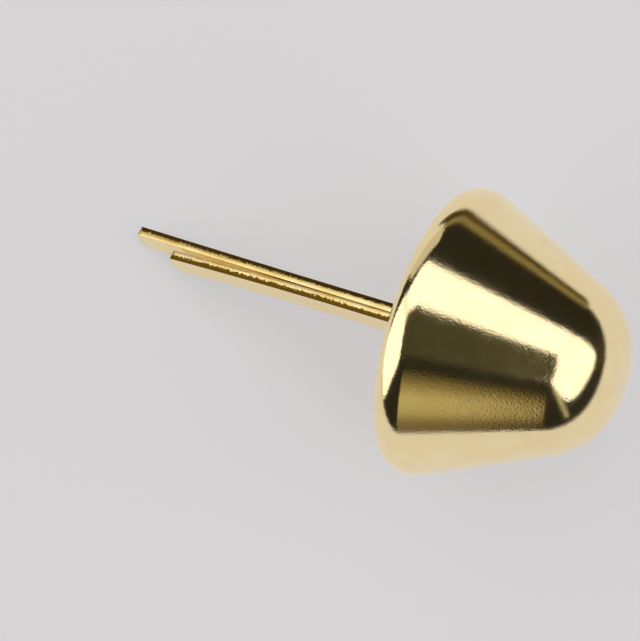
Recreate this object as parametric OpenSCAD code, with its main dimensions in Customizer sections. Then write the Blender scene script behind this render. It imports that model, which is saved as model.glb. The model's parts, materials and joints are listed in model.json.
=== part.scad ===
// Bag foot: a hollow cone-shaped stud with a split pin, lying on its rim and the tip of its longer leg.
// Each piece is drawn along the stud's axis (+Z towards the nose, Z = 0 at the bearing face of the rim).
// at_rest() then tips it over onto the floor, with the nose towards +X.

/* [Cap] */
// Largest diameter of the cap, at the rim's rounding
head_d = 16; // [14:0.5:20]
// Height of the cap, from the bearing face to the top of the nose
head_h = 10.8; // [9:0.1:13]
// Radius of the rim's broad rounding, next to the cone
rim_r = 1.5; // [1.2:0.05:1.9]
// Tighter radius by which the rim goes on round to the bearing face
edge_r = 0.65; // [0.55:0.05:0.9]
// How far past the widest place the tighter radius begins, in degrees
edge_turn = 24; // [14:2:40]
// Radius of the rounding between the cone and the nose
nose_r = 4.5; // [3.5:0.1:5]
// How far off the axis the centre of that rounding lies
nose_offset = 0.65; // [0:0.05:1.5]
// Radius of the shallow crown at the end of the nose
crown_r = 14.5; // [10:0.5:25]
// Thickness of the drawn sheet
sheet_t = 0.5; // [0.35:0.05:0.6]
// Width of the flat lip that is folded in behind the plate
lip_w = 1.5; // [1:0.1:2]

/* [Backing plate] */
// Thickness of the plate that closes the cap
plate_t = 0.6; // [0.4:0.1:1]
// Gap between the plate's edge and the inside of the rim
plate_play = 0.03; // [0.01:0.01:0.08]
// Height of the straight part of the hole, below its flared mouth
hole_land = 0.12; // [0.08:0.04:0.24]

/* [Split pin] */
// Diameter of the two legs held together
pin_d = 1; // [0.8:0.05:1.2]
// Distance from the bearing face to the tip of the longer leg
long_leg = 18.5; // [17:0.5:24]
// Distance from the bearing face to the tip of the shorter leg
short_leg = 16.2; // [11:0.2:16.8]
// Slit left between the flat faces of the legs
slit_w = 0.04; // [0.02:0.01:0.08]
// Length of the legs that stays straight, from the bearing face
straight_l = 4; // [2:0.5:6]
// How far the longer leg has sprung outwards at its tip
long_spread = 0.16; // [0.05:0.01:0.3]
// How far the shorter leg has sprung outwards at its tip
short_spread = 0.14; // [0.05:0.01:0.3]
// Bevel round the cut tips
tip_bevel = 0.12; // [0.05:0.01:0.2]
// Radius of the bends round the ends of the pin's oval eye
eye_r = 0.4; // [0.3:0.05:0.8]
// Gap between the pin and the hole in the plate
hole_play = 0.03; // [0.01:0.01:0.08]
// How far off the cap's axis the hole and the pin sit, towards the longer leg
pin_shift = 0.09; // [0:0.03:0.15]
// Lean of the slit from upright, about the pin's own axis
pin_roll = -3; // [-20:1:20]

/* [Hidden] */
$fn = 96;
// Largest turn between two points of an arc, in degrees
arc_step = 3;
gold = [0.86, 0.71, 0.33];
pale_gold = [0.80, 0.68, 0.38];
deep_gold = [0.78, 0.60, 0.25];

// The rim's two roundings, as [radius, height] of their centres; they touch inside each other
rim_c = [head_d / 2 - rim_r, edge_r + (rim_r - edge_r) * sin(edge_turn)];
edge_c = rim_c + (rim_r - edge_r) * [cos(edge_turn), -sin(edge_turn)];
// The crown and the nose's rounding touch inside each other, on the line through their centres
crown_c = [0, head_h - crown_r];
nose_c = [nose_offset, crown_c.y + sqrt(pow(crown_r - nose_r, 2) - pow(nose_offset, 2))];
nose_end = 90 - asin(nose_offset / (crown_r - nose_r));
// The cone is the line that touches the rim's rounding and the nose's, at this angle to the axis
cone_run = nose_c - rim_c;
cone_angle = atan(-cone_run.x / cone_run.y) - asin((nose_r - rim_r) / norm(cone_run));

pin_r = pin_d / 2;
hole_r = pin_r + hole_play;
plate_top = sheet_t + plate_t;
// The necks turn outwards inside the hole's flared mouth and come to lie on the plate
mouth = plate_t - hole_land;
neck_z = sheet_t + hole_land;
neck_r = mouth + pin_r;

// The floor passes the underside of the longer leg's tip and touches one of the rim's roundings
tip_reach = long_leg - tip_bevel;
tip_drop = pin_r + long_spread * sin(pin_roll);
broad_tilt = floor_tilt(rim_c, rim_r);
on_broad = broad_tilt <= edge_turn;
tilt = on_broad ? broad_tilt : floor_tilt(edge_c, edge_r);
touch_c = on_broad ? rim_c : edge_c;
touch_r = on_broad ? rim_r : edge_r;
rest_z = touch_c.x * cos(tilt) - touch_c.y * sin(tilt) + touch_r;
// Furthest reach each way along the floor, for an origin under the middle
nose_x = nose_c.y * cos(tilt) + nose_c.x * sin(tilt) + nose_r;
tip_x = long_leg * cos(tilt) + (pin_r - tip_bevel) * cos(pin_roll) * sin(tilt);
rest_x = (tip_x - nose_x) / 2;

// Slope of the floor against the axis, from the longer leg's tip to a rounding of radius r round c
function floor_tilt(c, r) =
    let (run = [tip_reach + c.y, c.x - tip_drop])
    atan(run.y / run.x) + asin(r / norm(run));

// Points along an arc round c, leaving out the first `skip` of them
function arc(c, r, from, to, skip = 0) =
    let (n = ceil(abs(to - from) / arc_step))
    [for (i = [skip:n]) c + r * [cos(from + (to - from) * i / n), sin(from + (to - from) * i / n)]];

function reversed(points) = [for (i = [len(points) - 1:-1:0]) points[i]];

// The cap's outer outline from the bearing face to the axis, set in by the same distance all along
function outline(inset) = concat(
    arc(edge_c, edge_r - inset, -90, -edge_turn),
    arc(rim_c, rim_r - inset, -edge_turn, cone_angle, 1),
    arc(nose_c, nose_r - inset, cone_angle, nose_end),
    arc(crown_c, crown_r - inset, nose_end, 90, 1)
);

module cap() {
    lip_edge = edge_c.x - lip_w;
    section = concat(
        [[lip_edge, 0]],
        outline(0),
        reversed(outline(sheet_t)),
        [[lip_edge, sheet_t]]
    );
    color(gold)
        rotate_extrude()
            polygon(section);
}

// A slice of the cap's inside, let down onto the lip, with the pin's hole through its middle
module backing_plate() {
    color(pale_gold)
        difference() {
            translate([0, 0, -plate_play])
                rotate_extrude()
                    intersection() {
                        polygon(concat([[0, sheet_t + plate_play]], outline(sheet_t + plate_play)));
                        square([head_d, plate_top + plate_play]);
                    }
            translate([0, pin_shift, 0])
                cylinder(r = hole_r, h = head_h);
            translate([0, pin_shift, neck_z])
                cylinder(r1 = hole_r, r2 = hole_r + 2 * mouth, h = 2 * mouth);
        }
}

// Half-round wire: the flat face looks towards -Y, across the slit
module leg_section() {
    difference() {
        circle(r = pin_r);
        translate([-pin_d, slit_w / 2 - pin_d])
            square([2 * pin_d, pin_d]);
    }
}

// A bend of the wire from the origin towards -Z that curves to +Y
module bend(r, turn) {
    translate([0, r, 0])
        rotate([-90, 0, -90])
            rotate_extrude(angle = turn)
                translate([r, 0])
                    rotate(90)
                        leg_section();
}

// Everything outside a bevelled tip that ends at the origin and points to -Z
module tip_cutter() {
    reach = 2 * pin_d;
    translate([0, 0, -reach])
        difference() {
            cylinder(r = reach, h = reach + 2 * tip_bevel);
            translate([0, 0, reach])
                cylinder(r1 = pin_r - tip_bevel, r2 = pin_r + tip_bevel, h = 2 * tip_bevel);
        }
}

// One leg on the +Y side, sprung outwards by `spread` at its tip, with its neck
module leg(length, spread) {
    sprung_l = length - straight_l;
    bend_r = (pow(sprung_l, 2) + pow(spread, 2)) / (2 * spread);
    turn = asin(sprung_l / bend_r);
    difference() {
        union() {
            translate([0, 0, -straight_l])
                linear_extrude(straight_l + neck_z)
                    leg_section();
            translate([0, 0, -straight_l])
                bend(bend_r, turn);
        }
        translate([0, spread, -length])
            rotate([turn, 0, 0])
                tip_cutter();
    }
    translate([0, 0, neck_z])
        mirror([0, 0, 1])
            bend(neck_r, 90);
}

// Rounded end of the eye on the +Y side, with the wire's flat face inwards
module eye_end() {
    translate([0, neck_r, neck_z + neck_r + eye_r])
        rotate([0, 90, 0])
            rotate_extrude(angle = 180)
                translate([eye_r, 0])
                    rotate(-90)
                        leg_section();
}

// Straight top of the eye, from one rounded end to the other
module eye_top() {
    translate([0, neck_r, neck_z + neck_r + 2 * eye_r])
        rotate([90, 0, 0])
            linear_extrude(2 * neck_r)
                leg_section();
}

module split_pin() {
    color(deep_gold)
        translate([0, pin_shift, 0])
            rotate([0, 0, -pin_roll]) {
                leg(long_leg, long_spread);
                eye_end();
                eye_top();
                mirror([0, 1, 0]) {
                    leg(short_leg, short_spread);
                    eye_end();
                }
            }
}

module at_rest() {
    translate([rest_x, 0, rest_z])
        rotate([0, 90 - tilt, 0])
            children();
}

at_rest() cap();
at_rest() backing_plate();
at_rest() split_pin();
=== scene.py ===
"""Looks for the bag foot with split pin: plated finishes, a pale floor, studio lights and the camera."""
import json
import math

import bmesh
import bpy
from mathutils import Matrix, Vector


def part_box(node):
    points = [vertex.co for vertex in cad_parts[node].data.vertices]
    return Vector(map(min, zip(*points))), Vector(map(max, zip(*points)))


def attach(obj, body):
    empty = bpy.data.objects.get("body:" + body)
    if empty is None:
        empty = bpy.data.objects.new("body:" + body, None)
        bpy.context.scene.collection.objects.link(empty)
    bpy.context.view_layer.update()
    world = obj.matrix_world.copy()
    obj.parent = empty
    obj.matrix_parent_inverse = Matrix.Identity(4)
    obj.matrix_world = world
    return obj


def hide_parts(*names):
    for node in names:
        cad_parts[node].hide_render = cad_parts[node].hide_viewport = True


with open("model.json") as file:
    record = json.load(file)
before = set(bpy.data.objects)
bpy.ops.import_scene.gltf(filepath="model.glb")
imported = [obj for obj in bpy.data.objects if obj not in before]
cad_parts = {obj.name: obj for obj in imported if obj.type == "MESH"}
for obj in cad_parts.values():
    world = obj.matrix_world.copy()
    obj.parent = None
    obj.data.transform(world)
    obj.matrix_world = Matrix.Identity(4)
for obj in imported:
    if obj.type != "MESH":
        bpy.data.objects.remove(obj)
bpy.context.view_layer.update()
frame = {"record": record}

MM = 0.001

# ---------------------------------------------------------------- sizes of the pieces, in millimetres
RIM_R = 1.5             # broad rounding of the rim, next to the cone
EDGE_R = 0.65           # tighter rounding by which it goes on to the bearing face
EDGE_TURN = 24          # degrees past the widest place where that begins
NOSE_R = 4.5            # rounding between cone and nose
NOSE_OFFSET = 0.65      # how far off the axis that rounding is centred
CROWN_R = 14.5          # shallow crown at the end of the nose
HEAD_H = 10.8           # bearing face to the top of the nose
SHEET = 0.5             # thickness of the drawn sheet
LIP_W = 1.5             # flat lip behind the plate
LIP_EDGE_R = 0.08       # worn edge of the lip
PLATE_T = 0.6           # thickness of the backing plate
PLATE_PLAY = 0.03       # gap between its edge and the inside of the rim
SLOT_LAND = 0.12        # straight part of its slot, below the flared mouth
SLOT_PLAY = 0.03        # gap between the slot and the strips

LONG_LEG = 18.3
SHORT_LEG = 15.8
STRAIGHT = 4.0          # part of the legs that stays straight
LONG_SPREAD = 0.06      # how far the longer leg has sprung outwards
SHORT_SPREAD = 0.20
SLIT = 0.04             # gap between the legs' flat faces
STRIP_W = 1.48          # width of the strip that the legs are bent from
STRIP_T = 0.53          # its thickness
CROWN_EDGE_R = 1.6      # crown across its cut edges
LONG_CROWN = 0.27       # how far from the inner face that crown is highest, on the longer leg
SHORT_CROWN = 0.06      # and on the shorter one
ARRIS_R = 0.03          # rounding along its arrises
END_LOW_R = 0.75        # rounding of the strip's ends, on the side of the floor
END_HIGH_R = 0.2        # and on the other side
END_L = 0.9             # length over which the ends are drawn out
END_BEVEL = 0.03        # bevel round the cut ends
END_BACKS = (0.12, END_BEVEL)   # places near an end, counted back from it, at which its rounding is followed
EYE_R = 0.4             # bends at the ends of the strips' oval eye
PIN_ROLL = 22           # lean of the strips, in degrees
PIN_LIFT = 0.26         # by which the strips sit above the cap's middle; the longer tip clears the floor by 0.1
SLOT_SEED_R = 1.0       # ring of the plate that is drawn in to its slot
SHARP = 30              # degrees between two faces of the plate from which their edge is kept sharp

# ---------------------------------------------------------------- fineness of the meshes
AROUND = 288            # steps round the cap
ARC_STEP = 1.2          # degrees between two points of an outline's arc
CONE_STEPS = 24
NECK_STEPS = 24         # steps round the bends over the plate
EYE_STEPS = 48          # steps round the ends of the eye
EDGE_STEPS = 10         # steps across a cut edge
ARRIS_STEPS = 5         # steps round an arris
FACE_STEPS = 8          # steps across a flat face
FACE_MARGIN = 0.02      # from a flat face's outermost point to its arris
EDGE_POINTS = 2 * (ARRIS_STEPS + 1) + EDGE_STEPS - 1
FACE_POINTS = FACE_STEPS + 1
SPRUNG_STEPS = 60       # steps along a sprung leg
FLAT, END, EDGE = range(3)  # material slots of the strips: flat faces, cut ends and cut edges


# ---------------------------------------------------------------- where the part lies
def mount(name):
    return next(m for m in frame["record"]["mounts"] if m["name"] == name)


def rest_matrix():
    """The part's own axis (+Z towards the nose, Z = 0 at the bearing face) to where it lies."""
    bearing = mount("bearing_face")
    out = -Vector(bearing["axis"])
    side = Vector((0, 1, 0))
    down = side.cross(out)
    turn = Matrix((down, side, out)).transposed().to_4x4()
    base = Vector((bearing["pos_m"][0], 0, bearing["pos_m"][2]))
    return Matrix.Translation(base) @ turn


LIES = rest_matrix()
OUTER_FACE = SLIT / 2 + STRIP_T     # from the slit's middle to a strip's outer face
low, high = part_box("cap")
HEAD_D = (high.y - low.y) / MM
# how far off the cap's axis the strips' middle sits, with their slit where the pin's axis shows
PIN_SHIFT = mount("pin_root")["pos_m"][1] / MM - STRIP_W / 2 * math.sin(math.radians(PIN_ROLL))


# ---------------------------------------------------------------- outlines
def arc(centre, radius, start, end, skip=0, steps=None):
    """Points of an arc, angles in degrees, leaving out the first `skip`."""
    steps = steps or math.ceil(abs(end - start) / ARC_STEP)
    angles = [math.radians(start + (end - start) * i / steps) for i in range(skip, steps + 1)]
    return [(centre[0] + radius * math.cos(a), centre[1] + radius * math.sin(a)) for a in angles]


def line(start, end, steps):
    """Points between start and end, without either."""
    return [(start[0] + (end[0] - start[0]) * i / steps, start[1] + (end[1] - start[1]) * i / steps)
            for i in range(1, steps)]


def rim_centres():
    """Centres of the rim's broad and tight roundings, as (radius, height)."""
    turn, apart = math.radians(EDGE_TURN), RIM_R - EDGE_R
    broad = (HEAD_D / 2 - RIM_R, EDGE_R + apart * math.sin(turn))
    return broad, (broad[0] + apart * math.cos(turn), EDGE_R)


def cap_outline(inset):
    """The cap's section from the bearing face to the axis, as (radius, height), set in by `inset`."""
    rim, edge = rim_centres()
    crown = (0, HEAD_H - CROWN_R)
    nose = (NOSE_OFFSET, crown[1] + math.sqrt((CROWN_R - NOSE_R) ** 2 - NOSE_OFFSET ** 2))
    nose_end = 90 - math.degrees(math.asin(NOSE_OFFSET / (CROWN_R - NOSE_R)))
    run = (nose[0] - rim[0], nose[1] - rim[1])
    cone = math.degrees(math.atan(-run[0] / run[1]) - math.asin((NOSE_R - RIM_R) / math.hypot(*run)))
    rim_arc = arc(edge, EDGE_R - inset, -90, -EDGE_TURN) + arc(rim, RIM_R - inset, -EDGE_TURN, cone, skip=1)
    nose_arc = arc(nose, NOSE_R - inset, cone, nose_end)
    crown_arc = arc(crown, CROWN_R - inset, nose_end, 90, skip=1)
    return rim_arc + line(rim_arc[-1], nose_arc[0], CONE_STEPS) + nose_arc + crown_arc


# ---------------------------------------------------------------- meshes
def add_piece(name, mesh_data, material):
    """A piece from a bmesh in the part's own frame, laid on the floor and carried by the root body."""
    mesh = bpy.data.meshes.new(name)
    mesh_data.to_mesh(mesh)
    mesh_data.free()
    mesh.transform(LIES @ Matrix.Scale(MM, 4))
    mesh.materials.append(material)
    mesh.shade_smooth()
    piece = bpy.data.objects.new(name, mesh)
    bpy.context.scene.collection.objects.link(piece)
    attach(piece, "root")
    return piece


def lathe(profile, around):
    """A closed profile of (radius, height) points turned round the axis; radius 0 gives one point."""
    data = bmesh.new()
    rings = []
    for radius, height in profile:
        if radius < 1e-6:
            rings.append([data.verts.new((0, 0, height))] * around)
            continue
        angles = (2 * math.pi * i / around for i in range(around))
        rings.append([data.verts.new((radius * math.cos(a), radius * math.sin(a), height)) for a in angles])
    for ring, after in zip(rings, rings[1:] + rings[:1]):
        for i in range(around):
            j = (i + 1) % around
            corners = list(dict.fromkeys((ring[i], ring[j], after[j], after[i])))
            if len(corners) > 2:
                data.faces.new(corners)
    return data


def make_cap(material):
    outer = cap_outline(0)
    inner = list(reversed(cap_outline(SHEET)))
    edge = rim_centres()[1][0] - LIP_W
    lip = (arc((edge + LIP_EDGE_R, SHEET - LIP_EDGE_R), LIP_EDGE_R, 90, 180)
           + arc((edge + LIP_EDGE_R, LIP_EDGE_R), LIP_EDGE_R, 180, 270))
    return add_piece("cap_shell", lathe(outer + inner + lip, AROUND), material)


def set_in_place(data, verts):
    """Turns and shifts what was drawn round the slit's middle to where the strips are."""
    bmesh.ops.rotate(data, verts=verts, matrix=Matrix.Rotation(math.radians(-PIN_ROLL), 3, "Z"))
    bmesh.ops.translate(data, verts=verts, vec=(-PIN_LIFT, PIN_SHIFT, 0))


def make_plate(material):
    """The disc behind the lip, with a slot for both strips, flared where they bend over it."""
    top, land = SHEET + PLATE_T, SHEET + SLOT_LAND
    rim = [(radius, min(height - PLATE_PLAY, top)) for radius, height in cap_outline(SHEET + PLATE_PLAY)]
    rim = rim[:1 + next(i for i, point in enumerate(rim) if point[1] == top)]
    data = lathe([(SLOT_SEED_R, land), (SLOT_SEED_R, SHEET)] + rim + [(SLOT_SEED_R, top)], AROUND)
    seeds = [vert for vert in data.verts if vert.co.xy.length < SLOT_SEED_R + SLOT_PLAY]
    for vert in seeds:
        x, y, z = vert.co
        across = STRIP_W / 2 + SLOT_PLAY
        out = OUTER_FACE + SLOT_PLAY + (top - land if z > land else 0)
        reach = min(size / abs(way) for size, way in ((across, x), (out, y)) if abs(way) > 1e-6)
        vert.co = Vector((x * reach, y * reach, z))
    set_in_place(data, seeds)
    plate = add_piece("plate_disc", data, material)
    plate.data.set_sharp_from_angle(angle=math.radians(SHARP))
    return plate


def leg_path(length, spread):
    """One half of the folded strip, from the middle of the eye's top to the leg's tip.

    Each step is (y, z, heading), with the heading in radians from +Y towards +Z and the strip's outer face on its
    left.
    """
    neck_r, neck_z = PLATE_T - SLOT_LAND + OUTER_FACE, SHEET + SLOT_LAND
    sprung = length - STRAIGHT
    bend_r = (sprung ** 2 + spread ** 2) / (2 * spread)
    moves = [
        ("go", neck_r, 4),
        ("turn", EYE_R, -180, EYE_STEPS),
        ("turn", neck_r, 90, NECK_STEPS),
        ("go", neck_z + STRAIGHT, 12),
        ("turn", bend_r, math.degrees(math.asin(sprung / bend_r)), SPRUNG_STEPS),
    ]
    y, z, heading = 0.0, neck_z + neck_r + 2 * EYE_R, 0.0
    path = [(y, z, heading)]
    for kind, size, *rest in moves:
        if kind == "go":
            steps, = rest
            for _ in range(steps):
                y += size / steps * math.cos(heading)
                z += size / steps * math.sin(heading)
                path.append((y, z, heading))
        else:
            degrees, steps = rest
            angle = math.radians(degrees)
            side = math.copysign(1, angle)
            cy = y - side * size * math.sin(heading)
            cz = z + side * size * math.cos(heading)
            for i in range(1, steps + 1):
                now = heading + angle * i / steps
                path.append((cy + side * size * math.sin(now), cz - side * size * math.cos(now), now))
            y, z, heading = path[-1]
    return path


def strip_section(crown_at):
    """Section of a leg as (across, out) points: cut edge, outer face, cut edge, inner face."""
    flat, run = SLIT / 2, CROWN_EDGE_R - ARRIS_R
    middle = (STRIP_W / 2 - CROWN_EDGE_R, flat + crown_at)
    first = math.degrees(math.asin((ARRIS_R - crown_at) / run))
    last = math.degrees(math.asin((STRIP_T - ARRIS_R - crown_at) / run))
    arris_low, arris_high = arc(middle, run, first, last, steps=1)
    edge = (arc(arris_low, ARRIS_R, -90, first, steps=ARRIS_STEPS)
            + arc(middle, CROWN_EDGE_R, first, last, skip=1, steps=EDGE_STEPS)[:-1]
            + arc(arris_high, ARRIS_R, last, 90, steps=ARRIS_STEPS))
    reach = min(edge[0][0], edge[-1][0]) - FACE_MARGIN
    across = [reach - 2 * reach * i / FACE_STEPS for i in range(FACE_STEPS + 1)]
    return (edge + [(x, flat + STRIP_T) for x in across] + [(-x, w) for x, w in reversed(edge)]
            + [(-x, flat) for x in across])


def end_setback(across):
    """How far the strip's rounded end falls back at this place across its width."""
    for radius, over in ((END_LOW_R, across - STRIP_W / 2 + END_LOW_R),
                         (END_HIGH_R, -across - STRIP_W / 2 + END_HIGH_R)):
        if over > 0:
            return radius - math.sqrt(max(radius ** 2 - over ** 2, 0))
    return 0.0


def strip_ring(data, section, place, mirror, back=0.0, shrink=0.0):
    """The section's vertices at a step of leg_path, `back` from the strip's end and shrunk by its bevel."""
    y, z, heading = place
    outward = data.verts.layers.float["outward"]
    out_y, out_z = -math.sin(heading), math.cos(heading)
    ease = max(1 - back / END_L, 0)
    ring = []
    for x, w in section:
        x_now = x - math.copysign(shrink, x) if abs(x) > shrink else x
        w_now = min(max(w, SLIT / 2 + shrink), OUTER_FACE - shrink)
        fall = end_setback(x) * ease
        here_y, here_z = y - fall * math.cos(heading), z - fall * math.sin(heading)
        vert = data.verts.new((x_now, mirror * (here_y + w_now * out_y), here_z + w_now * out_z))
        vert[outward] = (w - SLIT / 2) / STRIP_T
        ring.append(vert)
    return ring


def strip_half(data, crown_at, length, spread, mirror):
    """Rings of one half of the folded strip, from the middle of the eye's top to the tip of its leg."""
    section, path = strip_section(crown_at), leg_path(length, spread)
    y, z, heading = path[-1]
    rings = []
    for step in path[:-1]:
        rings.append(strip_ring(data, section, step, mirror, math.hypot(step[0] - y, step[1] - z)))
    for back in END_BACKS:
        here = (y - back * math.cos(heading), z - back * math.sin(heading), heading)
        rings.append(strip_ring(data, section, here, mirror, back))
    rings.append(strip_ring(data, section, path[-1], mirror, 0.0, END_BEVEL))
    return rings


def skin_half(data, rings, flip):
    """Faces between one half's rings and over the end of its leg."""
    def add_face(corners, slot):
        data.faces.new(reversed(corners) if flip else corners).material_index = slot

    count = len(rings[0])
    second_edge = EDGE_POINTS + FACE_POINTS
    on_edge = set(range(EDGE_POINTS - 1)) | set(range(second_edge, second_edge + EDGE_POINTS - 1))
    for ring, after in zip(rings, rings[1:]):
        for i in range(count):
            j = (i + 1) % count
            add_face((ring[i], ring[j], after[j], after[i]), EDGE if i in on_edge else FLAT)
    end = rings[-1]
    outer, inner = end[EDGE_POINTS:second_edge], end[second_edge + EDGE_POINTS:][::-1]
    add_face(end[:EDGE_POINTS] + [outer[0], inner[0]], END)
    add_face([outer[-1]] + end[second_edge:second_edge + EDGE_POINTS] + [inner[-1]], END)
    for i in range(FACE_STEPS):
        add_face((outer[i], outer[i + 1], inner[i + 1], inner[i]), END)


def make_pin(face_material, end_material, edge_material):
    """The folded strip. The vertex layer "outward" says how far across its thickness a point lies, from 0 to 1."""
    data = bmesh.new()
    data.verts.layers.float.new("outward")
    long_half = strip_half(data, LONG_CROWN, LONG_LEG, LONG_SPREAD, 1)
    short_half = strip_half(data, SHORT_CROWN, SHORT_LEG, SHORT_SPREAD, -1)
    # the middle of the eye's top belongs to both halves
    for vert in short_half[0]:
        data.verts.remove(vert)
    short_half[0] = long_half[0]
    skin_half(data, long_half, False)
    skin_half(data, short_half, True)
    bmesh.ops.recalc_face_normals(data, faces=data.faces)
    set_in_place(data, data.verts)
    piece = add_piece("pin_strip", data, face_material)
    piece.data.materials.append(end_material)
    piece.data.materials.append(edge_material)
    return piece


# ---------------------------------------------------------------- materials
def new_material(name):
    material = bpy.data.materials.new(name)
    material.use_nodes = True
    nodes = material.node_tree.nodes
    shader = nodes["Principled BSDF"]
    return material, nodes, material.node_tree.links, shader


def noise(nodes, links, size, detail):
    """A noise whose blobs are about `size` millimetres across."""
    texture = nodes.new("ShaderNodeTexNoise")
    texture.inputs["Scale"].default_value = 1 / (size * MM)
    texture.inputs["Detail"].default_value = detail
    links.new(nodes.new("ShaderNodeTexCoord").outputs["Object"], texture.inputs["Vector"])
    return texture.outputs["Fac"]


def bump(nodes, links, height, micrometres, below=None):
    """A relief this deep, laid over the relief `below`."""
    node = nodes.new("ShaderNodeBump")
    node.inputs["Distance"].default_value = micrometres * 1e-6
    links.new(height, node.inputs["Height"])
    if below is not None:
        links.new(below, node.inputs["Normal"])
    return node.outputs["Normal"]


def ramp(nodes, links, value, low_at, high_at, low_value, high_value):
    """Maps a value's range to another, clamped."""
    node = nodes.new("ShaderNodeMapRange")
    node.inputs["From Min"].default_value = low_at
    node.inputs["From Max"].default_value = high_at
    node.inputs["To Min"].default_value = low_value
    node.inputs["To Max"].default_value = high_value
    links.new(value, node.inputs["Value"])
    return node.outputs["Result"]


def mix_colour(nodes, links, factor, first, second):
    """Mixes the colour `first`, which may come from a node, with the colour `second`."""
    node = nodes.new("ShaderNodeMix")
    node.data_type = "RGBA"
    if isinstance(first, tuple):
        node.inputs["A"].default_value = (*first, 1)
    else:
        links.new(first, node.inputs["A"])
    node.inputs["B"].default_value = (*second, 1)
    links.new(factor, node.inputs["Factor"])
    return node.outputs["Result"]


def plated(name, bright, deep, roughness, peel, grain):
    """Gold plating: `bright` with `deep` clouds, an orange peel and a fine grain, both in micrometres."""
    material, nodes, links, shader = new_material(name)
    shader.inputs["Metallic"].default_value = 1
    clouds = ramp(nodes, links, noise(nodes, links, CLOUD, 3), 0.35, 0.7, 0, 1)
    links.new(mix_colour(nodes, links, clouds, bright, deep), shader.inputs["Base Color"])
    rough = ramp(nodes, links, noise(nodes, links, PATCH, 4), 0.3, 0.7, *roughness)
    links.new(rough, shader.inputs["Roughness"])
    waves = bump(nodes, links, noise(nodes, links, PEEL, 1), peel)
    links.new(bump(nodes, links, noise(nodes, links, GRAIN, 2), grain, waves), shader.inputs["Normal"])
    return material


def cut_edge(name, torn, torn_deep, painted_shade):
    """The strip's cut edges: torn and bright towards the slit, and near-black brown towards the outside, a painted
    shade that stands in for the dark reflection there.
    """
    material = plated(name, torn, torn_deep, (0.18, 0.28), 2.0, 3.0)
    nodes, links = material.node_tree.nodes, material.node_tree.links
    shader = nodes["Principled BSDF"]
    across = nodes.new("ShaderNodeAttribute")
    across.attribute_name = "outward"
    ragged = nodes.new("ShaderNodeMath")
    ragged.operation = "ADD"
    links.new(across.outputs["Fac"], ragged.inputs[0])
    links.new(ramp(nodes, links, noise(nodes, links, NICK, 3), 0.3, 0.7, -NICK_DEPTH, NICK_DEPTH), ragged.inputs[1])
    # where the painted shade lies: the outer half of the edge's thickness, with a nicked border
    painted_shade_share = ramp(nodes, links, ragged.outputs["Value"], *PAINTED_SHADE_FROM, 0, 1)
    plating = shader.inputs["Base Color"].links[0].from_socket
    links.new(mix_colour(nodes, links, painted_shade_share, plating, painted_shade), shader.inputs["Base Color"])
    return material


# sizes of the plating's unevenness, in millimetres
CLOUD = 1.6             # deeper and paler clouds
PATCH = 0.7             # duller and brighter patches
PEEL = 0.5              # orange peel
GRAIN = 0.11            # fine grain
NICK = 0.12             # nicks in the line between a cut edge's torn half and its half with painted shade
NICK_DEPTH = 0.13       # how far they reach, as a share of the strip's thickness
PAINTED_SHADE_FROM = (0.45, 0.58)  # shares of the thickness between which the torn half gives way to the painted shade

GOLD = (0.99, 0.83, 0.48)
GOLD_DEEP = (0.97, 0.79, 0.43)
EDGE_GOLD = (0.93, 0.74, 0.36)
EDGE_DEEP = (0.84, 0.58, 0.18)
# painted shade: near-black brown on the outer halves of the cut edges, in place of a dark reflection
PAINTED_SHADE_BROWN = (0.10, 0.052, 0.004)
PLATE_GOLD = (0.78, 0.62, 0.33)
PLATE_DEEP = (0.66, 0.50, 0.25)
CUT_BRASS = (0.74, 0.50, 0.22)
CUT_DEEP = (0.48, 0.29, 0.11)

# ---------------------------------------------------------------- camera
ROLL = math.radians(17.2)      # the part's +X runs 17.2 degrees below the picture's horizontal
CAMERA_AT = Vector((-2.61, -1.46, 125.67)) * MM
FOCAL_MM, SENSOR_MM = 123.75, 36


def make_camera():
    data = bpy.data.cameras.new("camera")
    data.lens = FOCAL_MM
    data.sensor_width = SENSOR_MM
    data.sensor_fit = "HORIZONTAL"
    data.clip_start, data.clip_end = 1 * MM, 10
    camera = bpy.data.objects.new("camera", data)
    camera.location = CAMERA_AT
    camera.rotation_euler = (0, 0, ROLL)
    bpy.context.scene.collection.objects.link(camera)
    bpy.context.scene.camera = camera


# ---------------------------------------------------------------- studio
FLOOR_TONE = (0.686, 0.671, 0.686)
FLOOR_ALBEDO = (0.82, 0.80, 0.82)
PLAIN_SHARE = 0.65      # share of plain tone in the floor as it is seen, which keeps its shadows light
MIRRORED = 1.13         # how much brighter that tone is where the gold mirrors it
ROOM_TONE = (0.022, 0.020, 0.014)   # of the dark room outside the tent
CARD_DISTANCE = 0.9     # from the part to the cards, in metres
TENT = 1.4              # radiance of the lit tent round the part
FILL = 1.2              # radiance of the soft light from overhead
WHITE = (1, 1, 1)
FLOOR_SIZE = 40         # side of the floor, in metres
PLAIN_FROM = (0.05, 0.25)   # distances from the part, in metres, between which the floor turns quite plain
ON_FLOOR = 0.1          # height of what lies flat on the floor, in millimetres


def direction(right, up):
    """A direction `right` and `up` degrees away from straight up, in the camera's own picture axes."""
    lean = math.radians(math.hypot(right, up))
    turn = math.atan2(up, right) + ROLL
    return Vector((math.sin(lean) * math.cos(turn), math.sin(lean) * math.sin(turn), math.cos(lean)))


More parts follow.
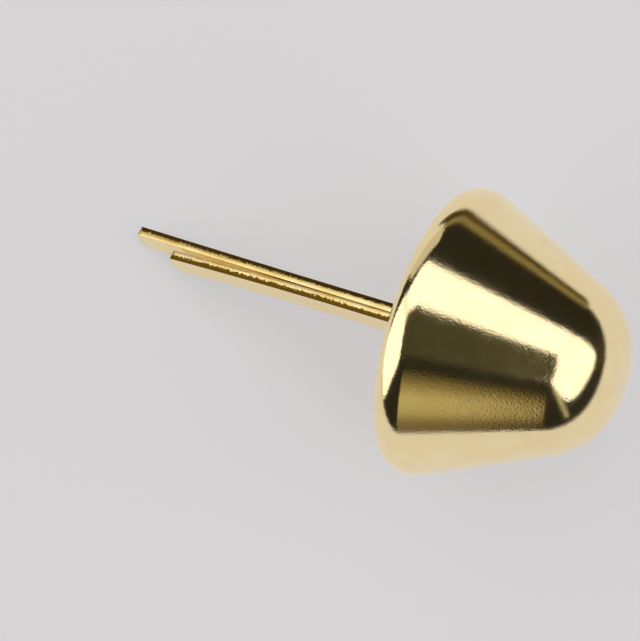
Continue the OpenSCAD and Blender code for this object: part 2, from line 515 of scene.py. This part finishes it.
def glow(name, radiance, tones):
    """A light of `radiance`, in one colour or in (degrees from straight up, colour) stops."""
    material = bpy.data.materials.new(name)
    material.use_nodes = True
    nodes, links = material.node_tree.nodes, material.node_tree.links
    nodes.remove(nodes["Principled BSDF"])
    light = nodes.new("ShaderNodeEmission")
    light.inputs["Strength"].default_value = radiance
    links.new(light.outputs["Emission"], nodes["Material Output"].inputs["Surface"])
    if not isinstance(tones[0], tuple):
        light.inputs["Color"].default_value = (*tones, 1)
        return material
    geometry = nodes.new("ShaderNodeNewGeometry")
    way = nodes.new("ShaderNodeVectorMath")
    way.operation = "NORMALIZE"
    links.new(geometry.outputs["Position"], way.inputs[0])
    parts = nodes.new("ShaderNodeSeparateXYZ")
    links.new(way.outputs["Vector"], parts.inputs["Vector"])
    lean = nodes.new("ShaderNodeMath")
    lean.operation = "ARCCOSINE"
    links.new(parts.outputs["Z"], lean.inputs[0])
    share = ramp(nodes, links, lean.outputs["Value"], 0, math.pi / 2, 0, 1)
    stops = nodes.new("ShaderNodeValToRGB")
    elements = stops.color_ramp.elements
    while len(elements) < len(tones):
        elements.new(0.5)
    for element, (degrees, colour) in zip(elements, tones):
        element.position = degrees / 90
        element.color = (*colour, 1)
    links.new(share, stops.inputs["Fac"])
    links.new(stops.outputs["Color"], light.inputs["Color"])
    return material


def stage_mesh(name, corners, material):
    data = bmesh.new()
    data.faces.new([data.verts.new(corner) for corner in corners])
    mesh = bpy.data.meshes.new(name)
    data.to_mesh(mesh)
    data.free()
    mesh.materials.append(material)
    thing = bpy.data.objects.new(name, mesh)
    thing.visible_camera = False
    bpy.context.scene.collection.objects.link(thing)
    return thing


def card(name, corners, radiance, tones=WHITE):
    """A glowing card seen from the part at these corners, each (right, up) in degrees."""
    ways = [direction(*corner) for corner in corners]
    middle = sum(ways, Vector()).normalized()
    return stage_mesh(name, [way * CARD_DISTANCE / way.dot(middle) for way in ways],
                      glow(name + "_light", radiance, tones))


def board(name, corners, tone):
    """Something that only the gold mirrors, at these corners in millimetres along the picture's axes."""
    turn = Matrix.Rotation(ROLL, 3, "Z")
    thing = stage_mesh(name, [turn @ Vector(corner) * MM for corner in corners], glow(name + "_tone", 1, tone))
    # all other light passes it, so that no shadow of it falls on the floor
    thing.visible_diffuse = False
    thing.visible_shadow = False


def make_floor():
    material, nodes, links, shader = new_material("floor")
    shader.inputs["Base Color"].default_value = (*FLOOR_ALBEDO, 1)
    shader.inputs["Roughness"].default_value = 0.9
    shader.inputs["Specular IOR Level"].default_value = 0
    # far from the part the floor keeps one plain tone up to the horizon
    geometry = nodes.new("ShaderNodeNewGeometry")
    reach = nodes.new("ShaderNodeVectorMath")
    reach.operation = "LENGTH"
    links.new(geometry.outputs["Position"], reach.inputs[0])
    far = ramp(nodes, links, reach.outputs["Value"], *PLAIN_FROM, 0, 1)
    plain = nodes.new("ShaderNodeEmission")
    plain.inputs["Color"].default_value = (*FLOOR_TONE, 1)
    path = nodes.new("ShaderNodeLightPath")
    links.new(ramp(nodes, links, path.outputs["Is Glossy Ray"], 0, 1, 1, MIRRORED), plain.inputs["Strength"])
    seen = nodes.new("ShaderNodeMath")
    seen.operation = "MAXIMUM"
    links.new(path.outputs["Is Camera Ray"], seen.inputs[0])
    links.new(path.outputs["Is Glossy Ray"], seen.inputs[1])
    near = ramp(nodes, links, seen.outputs["Value"], 0, 1, 0, PLAIN_SHARE)
    share = nodes.new("ShaderNodeMath")
    share.operation = "MAXIMUM"
    links.new(far, share.inputs[0])
    links.new(near, share.inputs[1])
    blend = nodes.new("ShaderNodeMixShader")
    links.new(share.outputs["Value"], blend.inputs["Fac"])
    links.new(shader.outputs["BSDF"], blend.inputs[1])
    links.new(plain.outputs["Emission"], blend.inputs[2])
    links.new(blend.outputs["Shader"], nodes["Material Output"].inputs["Surface"])
    bpy.ops.mesh.primitive_plane_add(size=FLOOR_SIZE, location=(0, 0, 0))
    floor = bpy.context.object
    floor.name = "floor"
    floor.data.materials.append(material)


def make_world():
    world = bpy.data.worlds.new("studio")
    bpy.context.scene.world = world
    world.use_nodes = True
    nodes, links = world.node_tree.nodes, world.node_tree.links
    room = nodes["Background"]
    room.inputs["Color"].default_value = (*ROOM_TONE, 1)
    seen = nodes.new("ShaderNodeBackground")
    seen.inputs["Color"].default_value = (*FLOOR_TONE, 1)
    path = nodes.new("ShaderNodeLightPath")
    choose = nodes.new("ShaderNodeMixShader")
    links.new(path.outputs["Is Camera Ray"], choose.inputs["Fac"])
    links.new(room.outputs["Background"], choose.inputs[1])
    links.new(seen.outputs["Background"], choose.inputs[2])
    links.new(choose.outputs["Shader"], nodes["World Output"].inputs["Surface"])


def make_lamps():
    """The lit tent and what else stands round the part, as its gold mirrors them."""
    card("tent_right", [(19, 4), (23, 20), (28, 34), (40, 26), (50, 22), (60, 15), (68, 8), (72, 0), (70, -12),
                        (62, -26), (52, -40), (43, -47), (36, -48), (27, -43), (19, -35), (12, -26), (17, -12)],
         TENT)
    card("tent_top", [(19, 4), (23, 20), (28, 34), (12, 42), (0, 48), (-14, 53), (-28, 52), (-40, 44), (-52, 33),
                      (-30, 14), (-14, 13), (0, 12)], TENT)
    card("tent_left", [(-30, 9), (-60, 34), (-70, 28), (-80, 20), (-88, 6), (-88, -10), (-82, -30), (-72, -50),
                       (-60, -49), (-44, -39), (-24, -27), (-26, -8)], TENT)
    card("way_in", [(-28, 10), (-12, 12), (19, 4), (17, -12), (12, -26), (-12, -27), (-24, -26), (-26, -8)],
         1, (0.055, 0.052, 0.028))
    card("brown", [(-3, -37), (5, -37), (4.5, -60), (4.5, -87), (-8, -86), (-6, -60)], 1,
         [(36, (0.04, 0.035, 0.018)), (41, (0.12, 0.10, 0.045)), (47, (0.28, 0.22, 0.09)), (57, (0.50, 0.44, 0.24)),
          (69, (0.44, 0.38, 0.19)), (77, (0.24, 0.19, 0.095)), (82, (0.17, 0.13, 0.06)), (88, (0.19, 0.15, 0.08))])
    card("pale_stripe", [(14, -30), (18, -34), (28, -46), (42, -68), (38, -70), (26, -52)], 1, (0.50, 0.48, 0.32))
    card("far_paper", [(-70, 56), (-50, 48), (-30, 58), (0, 68), (0, 89), (-30, 84), (-60, 66)], 1, (0.6, 0.57, 0.5))
    card("divider", [(-30, 7), (-27, 14), (-52, 36), (-63, 36)], 1, (1.0, 1.0, 0.85))
    card("nose_side", [(72, 12), (84, 26), (88, 4), (86, -22), (71, -14)], 1, (0.045, 0.034, 0.010))
    outline = [(-12, 50), (10, 51), (42, 57), (66, 66), (100, 90), (215, 200), (150, 260), (10, 300), (-15, 290),
               (-16, 90)]
    board("dark_board", [(x, y, ON_FLOOR) for x, y in outline], (0.06, 0.038, 0.008))
    board("far_edge", [(-22, 304, 0), (225, 215, 0), (225, 215, 38), (-22, 304, 38)], (0.24, 0.2, 0.09))
    # a soft fill from overhead, which the gold doesn't mirror
    fill = card("fill", [(-20, -20), (20, -20), (20, 20), (-20, 20)], FILL)
    fill.visible_glossy = False


# ---------------------------------------------------------------- build
bpy.context.scene.view_settings.view_transform = "Standard"
make_camera()
make_world()
make_floor()
make_lamps()

cap_gold = plated("cap_gold", GOLD, GOLD_DEEP, (0.09, 0.13), 1.0, 4.6)
leg_gold = plated("leg_gold", GOLD, GOLD_DEEP, (0.10, 0.16), 1.0, 1.2)
# cut edges, with painted shade on their outer halves
edge_gold = cut_edge("edge_gold", EDGE_GOLD, EDGE_DEEP, PAINTED_SHADE_BROWN)
cut_brass = plated("cut_brass", CUT_BRASS, CUT_DEEP, (0.3, 0.45), 2.0, 2.0)
plate_gold = plated("plate_gold", PLATE_GOLD, PLATE_DEEP, (0.28, 0.42), 1.5, 1.5)

cap = make_cap(cap_gold)
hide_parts("cap")

pin = make_pin(leg_gold, cut_brass, edge_gold)
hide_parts("split_pin")

plate = make_plate(plate_gold)
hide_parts("backing_plate")
